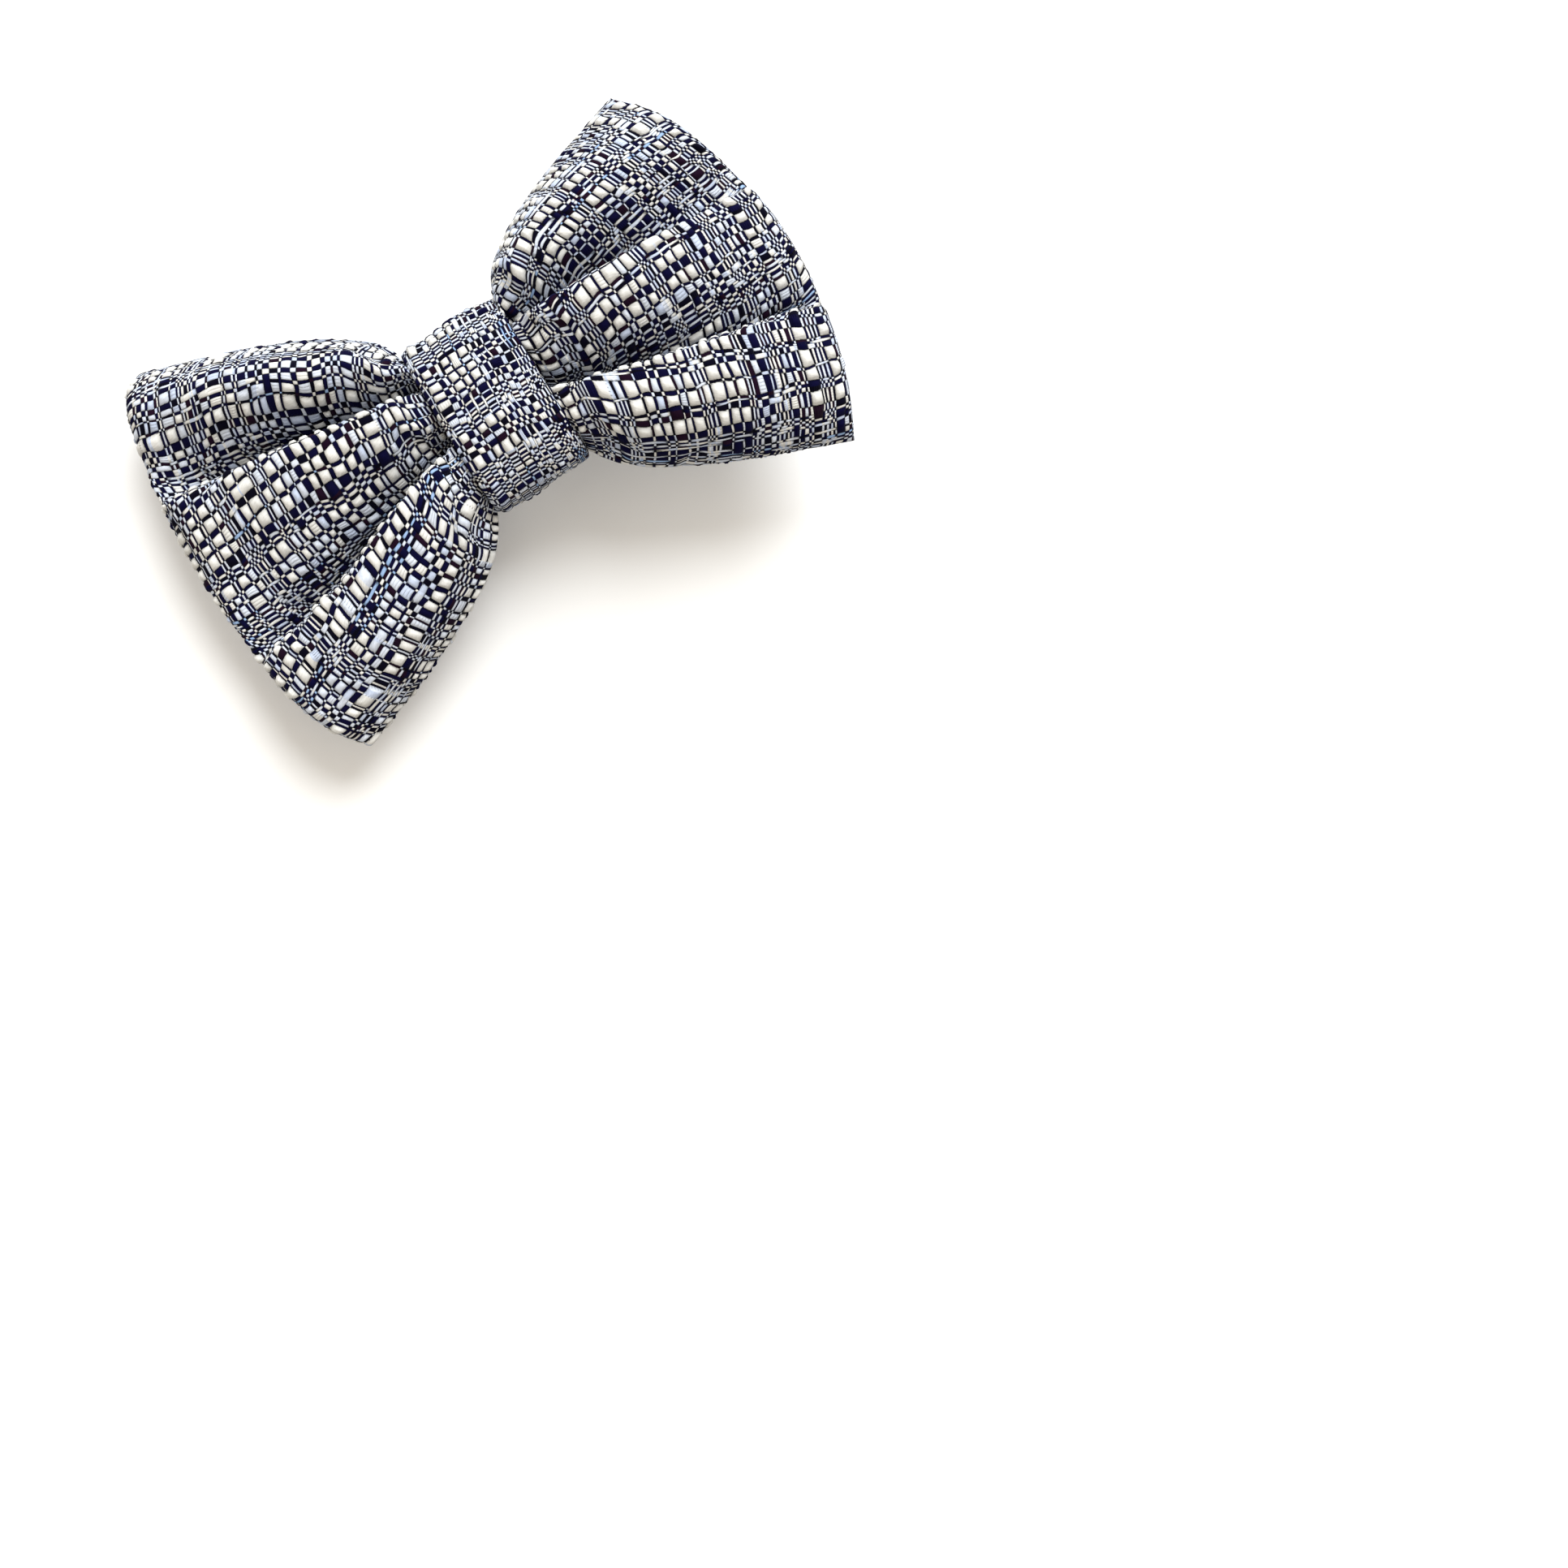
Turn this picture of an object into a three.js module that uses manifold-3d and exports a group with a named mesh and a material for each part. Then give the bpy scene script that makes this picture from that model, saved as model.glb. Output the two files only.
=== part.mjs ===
// A clip-on bow tie: two stuffed, pleated wings bound at the waist, a cloth knot band round them,
// and a double-jawed spring clip sewn on behind. Millimetres. The bow stands as it is worn:
// +X runs along the bow, +Z is up and -Y is the front. The origin is in the middle of the shut
// clip's gap, where the wearer's collar is held. The left wing and jaw are the right ones mirrored.
import * as THREE from "three";
import { mergeVertices } from "three/addons/utils/BufferGeometryUtils.js";
import Module from "manifold-3d";

const wasm = await Module();
wasm.setup();

const CLOTH = 0.9; // cloth with its fused interfacing
const GAP = 0.3; // between touching pieces

// Bow
const HALF_LENGTH = 59; // from the middle to the outer edge, at half height
const CORNER_X = 49; // where the outer edge meets the upper and lower edges
const CORNER_Z = 37.5;
const WAIST_Z = 11.5; // half height where the thread binds the wings
const FLARE_X = 9.9; // where the wings leave the knot
const FLARE_Z = 13;
const FLARE_POWER = 0.5; // below 1, so the edge bulges as it leaves the knot
const WAIST_DEPTH = 6; // half depth of the bound waist
const FLARE_DEPTH = 6.9; // half depth just inside the knot
const OUTER_DEPTH = 3.4; // half depth near the outer edge
const RIM_DEPTH = CLOTH + GAP / 2; // half depth of the sewn rim
const LEAN = 2.6; // how much further back the wings' outer edges lie than the knot's middle
const PLEAT_DEPTH = 3;
const ALONG_WAIST = 3; // grid cells
const ALONG_WING = 8;
const GRADING = 1.3; // above 1, so the cells are finer near the knot
const ACROSS = 20;

// Knot
const KNOT_HALF_LENGTH = 9.5;
const KNOT_HALF_HEIGHT = 15.5;
const KNOT_HALF_DEPTH = 9.5;
const BAND = 1.3; // the folded band's thickness
const LINING = 0.6;
const FLAP = 1; // the band's closing end, which laps over its start
const FLAP_LOW = -9;
const FLAP_HIGH = 6;
const OVAL_POWER = 2.6; // 2 is an ellipse, more is squarer
const OVAL_POINTS = 48;
const THREAD = 0.5;

// Clip
const PLATE = 0.8;
const PLATE_BACK = -GAP / 2;
const PLATE_FRONT = PLATE_BACK - PLATE;
const PLATE_HALF_LENGTH = 27;
const PLATE_HALF_WIDTH = 5;
const PIN_X = 9.5;
const PIN_Y = 2.7;
const PIN_R = 0.75;
const HOLE_R = 0.95;
const EYE_R = 1.5; // outside of the eyes round the pin
const EAR = 0.7;
const STEEL = 0.7; // the jaw's sheet
const JAW_HALF_WIDTH = 4;
const JAW_Y = 5.3; // middle of the jaw's sheet
const JAW_INNER_X = 3.6;
const JAW_BEND_X = 23.2;
const JAW_TIP_X = 25.9;
const WIRE = 0.5;
const COIL_R = 1.5;
const SEWING_X = 1.1;
const SEWING_Z = [-3.4, -1.2, 1.2, 3.4];

// The bow's middle plane at the knot: the stack from the clip's gap forwards.
const MIDDLE_Y = PLATE_FRONT - GAP - FLAP - KNOT_HALF_DEPTH;

const materials = {
  tweed: new THREE.MeshStandardMaterial({ color: 0x8d90a4, roughness: 0.92, metalness: 0 }),
  wadding: new THREE.MeshStandardMaterial({ color: 0xf1efe8, roughness: 1, metalness: 0 }),
  lining: new THREE.MeshStandardMaterial({ color: 0x242633, roughness: 0.95, metalness: 0 }),
  thread: new THREE.MeshStandardMaterial({ color: 0x1b2145, roughness: 0.7, metalness: 0 }),
  nickel: new THREE.MeshStandardMaterial({ color: 0xc4c4c0, roughness: 0.25, metalness: 1 }),
};

const bow = new THREE.Group();

function add(name, geometry, material, parent = bow) {
  const mesh = new THREE.Mesh(geometry, material);
  mesh.name = name;
  parent.add(mesh);
  return mesh;
}

// Solids: from three.js geometry to manifold-3d and back

function solid(geometry) {
  const bare = geometry.clone();
  bare.deleteAttribute("normal");
  bare.deleteAttribute("uv");
  const merged = mergeVertices(bare, 1e-4);
  const index = merged.index.array;
  const triangles = [];
  for (let i = 0; i < index.length; i += 3) {
    const [a, b, c] = [index[i], index[i + 1], index[i + 2]];
    if (a !== b && b !== c && c !== a) triangles.push(a, b, c);
  }
  return new wasm.Manifold(
    new wasm.Mesh({
      numProp: 3,
      vertProperties: new Float32Array(merged.attributes.position.array),
      triVerts: new Uint32Array(triangles),
    }),
  );
}

function geometryOf(manifold) {
  const mesh = manifold.getMesh();
  const geometry = new THREE.BufferGeometry();
  geometry.setAttribute("position", new THREE.BufferAttribute(mesh.vertProperties, 3));
  geometry.setIndex(new THREE.BufferAttribute(mesh.triVerts, 1));
  return geometry;
}

function join(...geometries) {
  return geometryOf(geometries.map(solid).reduce((a, b) => a.add(b)));
}

function cut(geometry, ...tools) {
  return geometryOf(tools.map(solid).reduce((a, b) => a.subtract(b), solid(geometry)));
}

function block(low, high) {
  const size = high.map((v, i) => v - low[i]);
  const middle = high.map((v, i) => (v + low[i]) / 2);
  return new THREE.BoxGeometry(...size).translate(...middle);
}

// A cylinder whose axis runs along Z.
function rod(radius, length, x, y, z = 0, sides = 24) {
  return new THREE.CylinderGeometry(radius, radius, length, sides).rotateX(Math.PI / 2).translate(x, y, z);
}

// A shape drawn in X and Y, as thick as depth, centred on z.
function slab(shape, depth, z = 0, curveSegments = 6) {
  const geometry = new THREE.ExtrudeGeometry(shape, { depth, bevelEnabled: false, curveSegments });
  return geometry.translate(0, 0, z - depth / 2);
}

function tube(points, diameter, steps, sides = 8) {
  const corners = Array.from({ length: sides }, (_, i) => {
    const turn = (2 * Math.PI * i) / sides;
    return new THREE.Vector2((diameter / 2) * Math.cos(turn), (diameter / 2) * Math.sin(turn));
  });
  const extrudePath = new THREE.CatmullRomCurve3(points, false, "catmullrom", 0.5);
  return new THREE.ExtrudeGeometry(new THREE.Shape(corners), { steps, extrudePath, bevelEnabled: false });
}

// Wings

// The wing's half height at x.
function edgeZ(x) {
  if (x <= FLARE_X) return WAIST_Z + (FLARE_Z - WAIST_Z) * (x / FLARE_X) ** 2;
  return FLARE_Z + (CORNER_Z - FLARE_Z) * ((x - FLARE_X) / (CORNER_X - FLARE_X)) ** FLARE_POWER;
}

// across runs from -1, the lower edge, to 1, the upper one.
function outerX(across) {
  return HALF_LENGTH - (HALF_LENGTH - CORNER_X) * across ** 2;
}

// along is 0 at the waist, 1 where the wing leaves the knot and 2 at the outer edge.
function wingX(along, across) {
  if (along <= 1) return GAP / 2 + (FLARE_X - GAP / 2) * along;
  return FLARE_X + (outerX(across) - FLARE_X) * (along - 1);
}

function middleY(along, across) {
  const out = Math.max(0, along - 1);
  const lean = LEAN * THREE.MathUtils.smoothstep(out, 0, 1);
  const pleats = PLEAT_DEPTH * THREE.MathUtils.smoothstep(out, 0, 0.3) * (1 - 0.8 * out);
  return MIDDLE_Y + lean - pleats * Math.cos(3 * Math.PI * across);
}

function halfDepth(along, across) {
  const rounding = (1 - Math.min(1, Math.abs(across)) ** OVAL_POWER) ** (1 / OVAL_POWER);
  if (along <= 1) return RIM_DEPTH + (THREE.MathUtils.lerp(WAIST_DEPTH, FLARE_DEPTH, along) - RIM_DEPTH) * rounding;
  const out = along - 1;
  const full = THREE.MathUtils.lerp(FLARE_DEPTH, OUTER_DEPTH, out);
  return RIM_DEPTH + (full - RIM_DEPTH) * rounding * Math.sqrt(1 - out ** 6);
}

function wingPoint(along, across, offset) {
  const x = wingX(along, across);
  return new THREE.Vector3(x, middleY(along, across) + offset, across * edgeZ(x));
}

// A closed sheet between two offsets from the wing's middle surface; front and back are functions.
// inset leaves out that many of the grid's outer cells.
function wingSheet(front, back, inset = 0) {
  const rows = ALONG_WAIST + ALONG_WING - inset;
  const cells = ACROSS - 2 * inset;
  const positions = [];
  for (const side of [front, back])
    for (let i = 0; i <= rows; i++)
      for (let j = 0; j <= cells; j++) {
        const out = Math.max(0, i - ALONG_WAIST) / ALONG_WING;
        const along = Math.min(1, i / ALONG_WAIST) + out ** GRADING;
        const across = (2 * (j + inset)) / ACROSS - 1;
        positions.push(...wingPoint(along, across, side(along, across)));
      }
  const layer = (rows + 1) * (cells + 1);
  const at = (i, j, k) => k * layer + i * (cells + 1) + j;
  const faces = [];
  const quad = (a, b, c, d) => faces.push(a, b, c, a, c, d);
  for (let i = 0; i < rows; i++)
    for (let j = 0; j < cells; j++) {
      quad(at(i, j, 0), at(i + 1, j, 0), at(i + 1, j + 1, 0), at(i, j + 1, 0));
      quad(at(i, j, 1), at(i, j + 1, 1), at(i + 1, j + 1, 1), at(i + 1, j, 1));
    }
  for (let i = 0; i < rows; i++) {
    quad(at(i, 0, 0), at(i, 0, 1), at(i + 1, 0, 1), at(i + 1, 0, 0));
    quad(at(i, cells, 0), at(i + 1, cells, 0), at(i + 1, cells, 1), at(i, cells, 1));
  }
  for (let j = 0; j < cells; j++) {
    quad(at(0, j, 0), at(0, j + 1, 0), at(0, j + 1, 1), at(0, j, 1));
    quad(at(rows, j, 0), at(rows, j, 1), at(rows, j + 1, 1), at(rows, j + 1, 0));
  }
  const geometry = new THREE.BufferGeometry();
  geometry.setAttribute("position", new THREE.Float32BufferAttribute(positions, 3));
  geometry.setIndex(faces);
  return geometry;
}

function addWing(side, group) {
  const outside = halfDepth;
  const inside = (along, across) => Math.max(GAP / 2, halfDepth(along, across) - CLOTH);
  const filling = (along, across) => Math.max(0.25, halfDepth(along, across) - CLOTH - GAP);
  const minus = (f) => (along, across) => -f(along, across);
  add(side + "_front_panel", wingSheet(minus(outside), minus(inside)), materials.tweed, group);
  add(side + "_back_panel", wingSheet(inside, outside), materials.tweed, group);
  add(side + "_wadding", wingSheet(minus(filling), filling, 1), materials.wadding, group);
}

// Knot

function ovalPoint(halfDepth, halfHeight, turn) {
  const bend = (v) => Math.sign(v) * Math.abs(v) ** (2 / OVAL_POWER);
  return new THREE.Vector2(halfDepth * bend(Math.cos(turn)), halfHeight * bend(Math.sin(turn)));
}

function ovalPoints(halfDepth, halfHeight) {
  return Array.from({ length: OVAL_POINTS }, (_, i) => {
    return ovalPoint(halfDepth, halfHeight, (2 * Math.PI * i) / OVAL_POINTS);
  });
}

// A ring round the waist, drawn in Y and Z and as long as twice halfLength in X.
function waistRing(halfDepth, halfHeight, thickness, halfLength) {
  const shape = new THREE.Shape(ovalPoints(halfDepth, halfHeight));
  shape.holes.push(new THREE.Path(ovalPoints(halfDepth - thickness, halfHeight - thickness)));
  const ring = new THREE.ExtrudeGeometry(shape, { depth: 2 * halfLength, bevelEnabled: false });
  const yzFromXy = new THREE.Matrix4().makeBasis(
    new THREE.Vector3(0, 1, 0),
    new THREE.Vector3(0, 0, 1),
    new THREE.Vector3(1, 0, 0),
  );
  return ring.applyMatrix4(yzFromXy).translate(-halfLength, MIDDLE_Y, 0);
}

// How far behind the middle plane an oval's back lies at height z.
function ovalBack(halfDepth, halfHeight, z) {
  return MIDDLE_Y + halfDepth * (1 - Math.abs(z / halfHeight) ** OVAL_POWER) ** (1 / OVAL_POWER);
}

function knotBand() {
  const band = solid(waistRing(KNOT_HALF_DEPTH, KNOT_HALF_HEIGHT, BAND, KNOT_HALF_LENGTH));
  const overlap = 0.1; // so that the flap and the band are one piece of cloth
  const lap = waistRing(KNOT_HALF_DEPTH + FLAP, KNOT_HALF_HEIGHT + FLAP, FLAP + overlap, KNOT_HALF_LENGTH - 0.4);
  const where = block([-KNOT_HALF_LENGTH, MIDDLE_Y, FLAP_LOW], [KNOT_HALF_LENGTH, 0, FLAP_HIGH]);
  return geometryOf(band.add(solid(lap).intersect(solid(where))));
}

function knotLining() {
  const inset = BAND + GAP;
  return waistRing(KNOT_HALF_DEPTH - inset, KNOT_HALF_HEIGHT - inset, LINING, KNOT_HALF_LENGTH - 0.5);
}

// Thread wound round the bound waist.
function waistBinding() {
  const turns = 3;
  const stepsPerTurn = 22;
  const pitch = 0.85;
  const clear = 2 * GAP + THREAD / 2;
  const points = [];
  for (let i = 0; i <= turns * stepsPerTurn; i++) {
    const x = (i / stepsPerTurn - turns / 2) * pitch;
    const oval = ovalPoint(WAIST_DEPTH + clear, WAIST_Z + clear, (2 * Math.PI * i) / stepsPerTurn);
    points.push(new THREE.Vector3(x, MIDDLE_Y + oval.x, oval.y));
  }
  return tube(points, THREAD, turns * stepsPerTurn, 6);
}

// A whip stitch over the flap's lower edge.
function bandStitch(x) {
  const lift = GAP + THREAD / 2;
  const slant = 0.5;
  const reach = 1.5;
  const low = FLAP_LOW - reach;
  const high = FLAP_LOW + reach;
  const flapBack = (z) => ovalBack(KNOT_HALF_DEPTH + FLAP, KNOT_HALF_HEIGHT + FLAP, z);
  const points = [
    new THREE.Vector3(x - slant, ovalBack(KNOT_HALF_DEPTH, KNOT_HALF_HEIGHT, low) + lift, low),
    new THREE.Vector3(x, flapBack(FLAP_LOW) + 2 * lift, FLAP_LOW - 0.4),
    new THREE.Vector3(x + slant, flapBack(high) + lift, high),
  ];
  return tube(points, THREAD, 6, 6);
}

// Clip

function earShape(footY) {
  const shape = new THREE.Shape();
  shape.moveTo(PIN_X - EYE_R, footY);
  shape.lineTo(PIN_X - EYE_R, PIN_Y);
  const over = footY < PIN_Y;
  shape.absarc(PIN_X, PIN_Y, EYE_R, Math.PI, 0, over);
  shape.lineTo(PIN_X + EYE_R, footY);
  shape.closePath();
  const hole = new THREE.Path();
  hole.absarc(PIN_X, PIN_Y, HOLE_R, 0, 2 * Math.PI);
  shape.holes.push(hole);
  return shape;
}

function addClipBase() {
  const shape = new THREE.Shape();
  const [l, w, r] = [PLATE_HALF_LENGTH, PLATE_HALF_WIDTH, 3];
  shape.moveTo(-l + r, -w);
  shape.lineTo(l - r, -w);
  shape.absarc(l - r, -w + r, r, -Math.PI / 2, 0);
  shape.absarc(l - r, w - r, r, 0, Math.PI / 2);
  shape.lineTo(-l + r, w);
  shape.absarc(-l + r, w - r, r, Math.PI / 2, Math.PI);
  shape.absarc(-l + r, -w + r, r, Math.PI, 1.5 * Math.PI);
  const holeRadius = 0.5;
  for (const z of SEWING_Z)
    for (const x of [-SEWING_X, SEWING_X]) {
      const hole = new THREE.Path();
      hole.absarc(x, z, holeRadius, 0, 2 * Math.PI);
      shape.holes.push(hole);
    }
  // Drawn in X and Y, then turned so that its thickness runs along Y.
  const plate = slab(shape, PLATE, 0, 5)
    .rotateX(Math.PI / 2)
    .translate(0, (PLATE_FRONT + PLATE_BACK) / 2, 0);
  const ears = [-1, 1].map((edge) => {
    return slab(earShape(PLATE_BACK - PLATE / 2), EAR, edge * (PLATE_HALF_WIDTH - EAR / 2));
  });
  const rightEars = solid(ears[0]).add(solid(ears[1]));
  const leftEars = rightEars.mirror([1, 0, 0]);
  add("clip_base", geometryOf(solid(plate).add(rightEars).add(leftEars)), materials.nickel);
}

// The jaw's side view: a flat lever and back, then a nose bent down to the plate.
function jawProfile() {
  const path = new THREE.Path();
  path.moveTo(JAW_INNER_X, JAW_Y);
  path.lineTo(JAW_BEND_X, JAW_Y);
  path.quadraticCurveTo(JAW_TIP_X, JAW_Y, JAW_TIP_X, JAW_Y - 2.4);
  path.lineTo(JAW_TIP_X, PLATE_BACK + GAP);
  const line = path.getPoints(6);
  const left = [];
  const right = [];
  line.forEach((p, i) => {
    const before = line[Math.max(0, i - 1)];
    const after = line[Math.min(line.length - 1, i + 1)];
    const normal = new THREE.Vector2(before.y - after.y, after.x - before.x).normalize();
    left.push(p.clone().addScaledVector(normal, STEEL / 2));
    right.push(p.clone().addScaledVector(normal, -STEEL / 2));
  });
  return new THREE.Shape([...right, ...left.reverse()]);
}

function jaw() {
  const sheet = slab(jawProfile(), 2 * JAW_HALF_WIDTH);
  const eyes = [-1, 1].map((edge) => slab(earShape(JAW_Y), EAR, edge * (JAW_HALF_WIDTH - EAR / 2)));
  const notches = [];
  const teeth = 5;
  const pitch = (2 * JAW_HALF_WIDTH) / teeth;
  const depth = 1;
  for (let i = 1; i < teeth; i++) {
    const z = -JAW_HALF_WIDTH + i * pitch;
    const notch = new THREE.Shape([
      new THREE.Vector2(-pitch / 2, -0.2),
      new THREE.Vector2(pitch / 2, -0.2),
      new THREE.Vector2(0, depth),
    ]);
    // Turned so that the notch runs through the nose along X, with its point towards +Y.
    notches.push(slab(notch, 3).rotateY(Math.PI / 2).translate(JAW_TIP_X, PLATE_BACK + GAP, z));
  }
  return cut(join(sheet, ...eyes), ...notches);
}

function hingePin() {
  const reach = PLATE_HALF_WIDTH + GAP;
  const head = 0.6;
  const heads = [-1, 1].map((end) => rod(1.2, head, PIN_X, PIN_Y, end * (reach + head / 2), 16));
  return join(rod(PIN_R, 2 * reach + head, PIN_X, PIN_Y, 0, 20), ...heads);
}

// A torsion spring round the pin: one leg on the plate, the other under the lever.
function spring() {
  const stepsPerTurn = 12;
  const turns = 2.5;
  const halfWidth = 1.1;
  const legX = 5;
  const points = [new THREE.Vector3(legX, PLATE_BACK + GAP + WIRE / 2, -halfWidth)];
  points.push(new THREE.Vector3(PIN_X - 1.6, PIN_Y - COIL_R - 0.15, -halfWidth));
  for (let i = 0; i <= turns * stepsPerTurn; i++) {
    const turn = -Math.PI / 2 + (2 * Math.PI * i) / stepsPerTurn;
    const z = THREE.MathUtils.lerp(-halfWidth, halfWidth, i / (turns * stepsPerTurn));
    points.push(new THREE.Vector3(PIN_X + COIL_R * Math.cos(turn), PIN_Y + COIL_R * Math.sin(turn), z));
  }
  points.push(new THREE.Vector3(PIN_X - 1.6, PIN_Y + COIL_R + 0.1, halfWidth));
  points.push(new THREE.Vector3(legX, JAW_Y - STEEL / 2 - GAP / 2 - WIRE / 2, halfWidth));
  return tube(points, WIRE, 50, 6);
}

// A stitch through two of the plate's holes: a bar behind the plate and a leg down each hole.
function clipStitch(z) {
  const over = PLATE_BACK + GAP + THREAD / 2;
  const under = PLATE_FRONT + 0.05;
  const points = [
    new THREE.Vector3(-SEWING_X, under, z),
    new THREE.Vector3(-SEWING_X, PLATE_BACK, z),
    new THREE.Vector3(0, over + 0.15, z),
    new THREE.Vector3(SEWING_X, PLATE_BACK, z),
    new THREE.Vector3(SEWING_X, under, z),
  ];
  return tube(points, THREAD, 14, 6);
}

// Assembly

for (const side of ["left", "right"]) {
  const group = new THREE.Group();
  group.scale.x = side === "left" ? -1 : 1;
  bow.add(group);
  addWing(side, group);
  add(side + "_jaw", jaw(), materials.nickel, group);
  add(side + "_hinge_pin", hingePin(), materials.nickel, group);
  add(side + "_spring", spring(), materials.nickel, group);
}
add("knot_band", knotBand(), materials.tweed);
add("knot_lining", knotLining(), materials.lining);
add("waist_binding", waistBinding(), materials.thread);
[-7, -3.5, 0, 3.5, 7].forEach((x, i) => add("band_stitch_" + (i + 1), bandStitch(x), materials.thread));
addClipBase();
SEWING_Z.forEach((z, i) => add("clip_stitch_" + (i + 1), clipStitch(z), materials.thread));

export default bow;
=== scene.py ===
"""The looks of a clip-on bow tie in a chunky blue and white weave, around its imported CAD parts.

The cloth is built yarn by yarn. Each sheet's grid lines are the edges of its yarns, so every face
belongs to one crossing and knows which yarn lies on top, its colour and its place on that yarn.
Sizes are in millimetres until a mesh is made, and the frame is in metres.
"""

import math

import bpy
import numpy as np
from mathutils import Matrix, Vector


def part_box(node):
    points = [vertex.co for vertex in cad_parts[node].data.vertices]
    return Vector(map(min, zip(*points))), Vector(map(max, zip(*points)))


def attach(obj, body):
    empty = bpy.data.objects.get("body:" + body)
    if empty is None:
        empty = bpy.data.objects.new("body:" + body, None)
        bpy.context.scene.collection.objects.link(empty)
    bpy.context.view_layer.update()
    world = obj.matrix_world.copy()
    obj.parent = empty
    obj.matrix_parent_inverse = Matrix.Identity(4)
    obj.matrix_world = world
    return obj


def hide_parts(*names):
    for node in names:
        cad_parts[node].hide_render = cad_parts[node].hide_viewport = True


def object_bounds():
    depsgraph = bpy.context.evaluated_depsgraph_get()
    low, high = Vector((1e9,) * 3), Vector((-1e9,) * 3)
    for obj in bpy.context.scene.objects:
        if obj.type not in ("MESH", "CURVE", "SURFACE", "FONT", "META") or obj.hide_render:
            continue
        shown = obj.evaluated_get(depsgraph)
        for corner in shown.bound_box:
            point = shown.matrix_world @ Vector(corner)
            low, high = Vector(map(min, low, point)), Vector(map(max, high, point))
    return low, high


MM = 0.001
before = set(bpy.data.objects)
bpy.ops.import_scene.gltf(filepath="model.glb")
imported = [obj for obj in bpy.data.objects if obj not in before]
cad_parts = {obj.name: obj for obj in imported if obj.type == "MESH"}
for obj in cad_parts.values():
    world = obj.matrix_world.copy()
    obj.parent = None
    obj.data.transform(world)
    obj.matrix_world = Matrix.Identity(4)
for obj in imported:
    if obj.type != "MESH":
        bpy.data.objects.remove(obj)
cad_bounds = [list(corner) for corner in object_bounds()]


def box_mm(node):
    low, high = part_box(node)
    return np.array(low) / MM, np.array(high) / MM


# The knot's middle plane and half sizes, from the CAD band without its flap
knot_low, knot_high = box_mm("knot_band")
KNOT_HALF_LENGTH = knot_high[0]
KNOT_HALF_HEIGHT = knot_high[2]
KNOT_HALF_DEPTH = 9.5
MIDDLE_Y = knot_low[1] + KNOT_HALF_DEPTH
OVAL_POWER = 2.6
FLAP = 1.0  # how far the band's last lap stands off behind
FLAP_LOW = -9.0  # the height where it ends
FLAP_HIGH = 6.0  # and where it is all the way out
FLAP_RISE = 3.5
BAND = 1.3  # the folded band's thickness

# ---------------------------------------------------------------- colours and materials


def srgb(red, green, blue):
    """A linear colour from 0 to 255 sRGB values."""
    c = np.array([red, green, blue]) / 255
    return tuple(np.where(c <= 0.04045, c / 12.92, ((c + 0.055) / 1.055) ** 2.4))


CREAM = srgb(238, 238, 235)
WHITE = srgb(224, 232, 246)
NAVY = srgb(9, 8, 48)
INK = srgb(6, 5, 24)
PLUM = srgb(30, 11, 32)
SKY = srgb(160, 190, 232)
PALE = srgb(206, 218, 242)


class Nodes:
    """A short way to write the nodes of a material or a world."""

    def __init__(self, owner):
        owner.use_nodes = True
        self.tree = owner.node_tree

    def feed(self, socket, value):
        if isinstance(value, bpy.types.NodeSocket):
            self.tree.links.new(value, socket)
        else:
            socket.default_value = value

    def math(self, operation, *values, clamp=False):
        node = self.tree.nodes.new("ShaderNodeMath")
        node.operation = operation
        node.use_clamp = clamp
        for socket, value in zip(node.inputs, values):
            self.feed(socket, value)
        return node.outputs[0]

    def remap(self, value, from_low, from_high, to_low=0.0, to_high=1.0, kind="LINEAR"):
        node = self.tree.nodes.new("ShaderNodeMapRange")
        node.interpolation_type = kind
        for socket, v in zip(node.inputs, (value, from_low, from_high, to_low, to_high)):
            self.feed(socket, v)
        return node.outputs[0]

    def noise(self, vector, scale, detail=2.0, roughness=0.5):
        node = self.tree.nodes.new("ShaderNodeTexNoise")
        self.feed(node.inputs["Vector"], vector)
        node.inputs["Scale"].default_value = scale
        node.inputs["Detail"].default_value = detail
        node.inputs["Roughness"].default_value = roughness
        return node.outputs["Fac"]

    def attribute(self, name):
        node = self.tree.nodes.new("ShaderNodeAttribute")
        node.attribute_name = name
        return node

    def separate(self, vector):
        node = self.tree.nodes.new("ShaderNodeSeparateXYZ")
        self.feed(node.inputs[0], vector)
        return node.outputs

    def scaled(self, colour, factor):
        """The colour times a number, channel by channel."""
        node = self.tree.nodes.new("ShaderNodeVectorMath")
        node.operation = "SCALE"
        self.feed(node.inputs[0], colour)
        self.feed(node.inputs["Scale"], factor)
        return node.outputs[0]

    def mix(self, factor, a, b):
        """From colour a to colour b. Each is a socket, or red, green and blue."""
        node = self.tree.nodes.new("ShaderNodeMix")
        node.data_type = "RGBA"
        self.feed(node.inputs[0], factor)
        for socket, colour in ((node.inputs[6], a), (node.inputs[7], b)):
            self.feed(socket, colour if isinstance(colour, bpy.types.NodeSocket) else (*colour, 1))
        return node.outputs[2]


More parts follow.
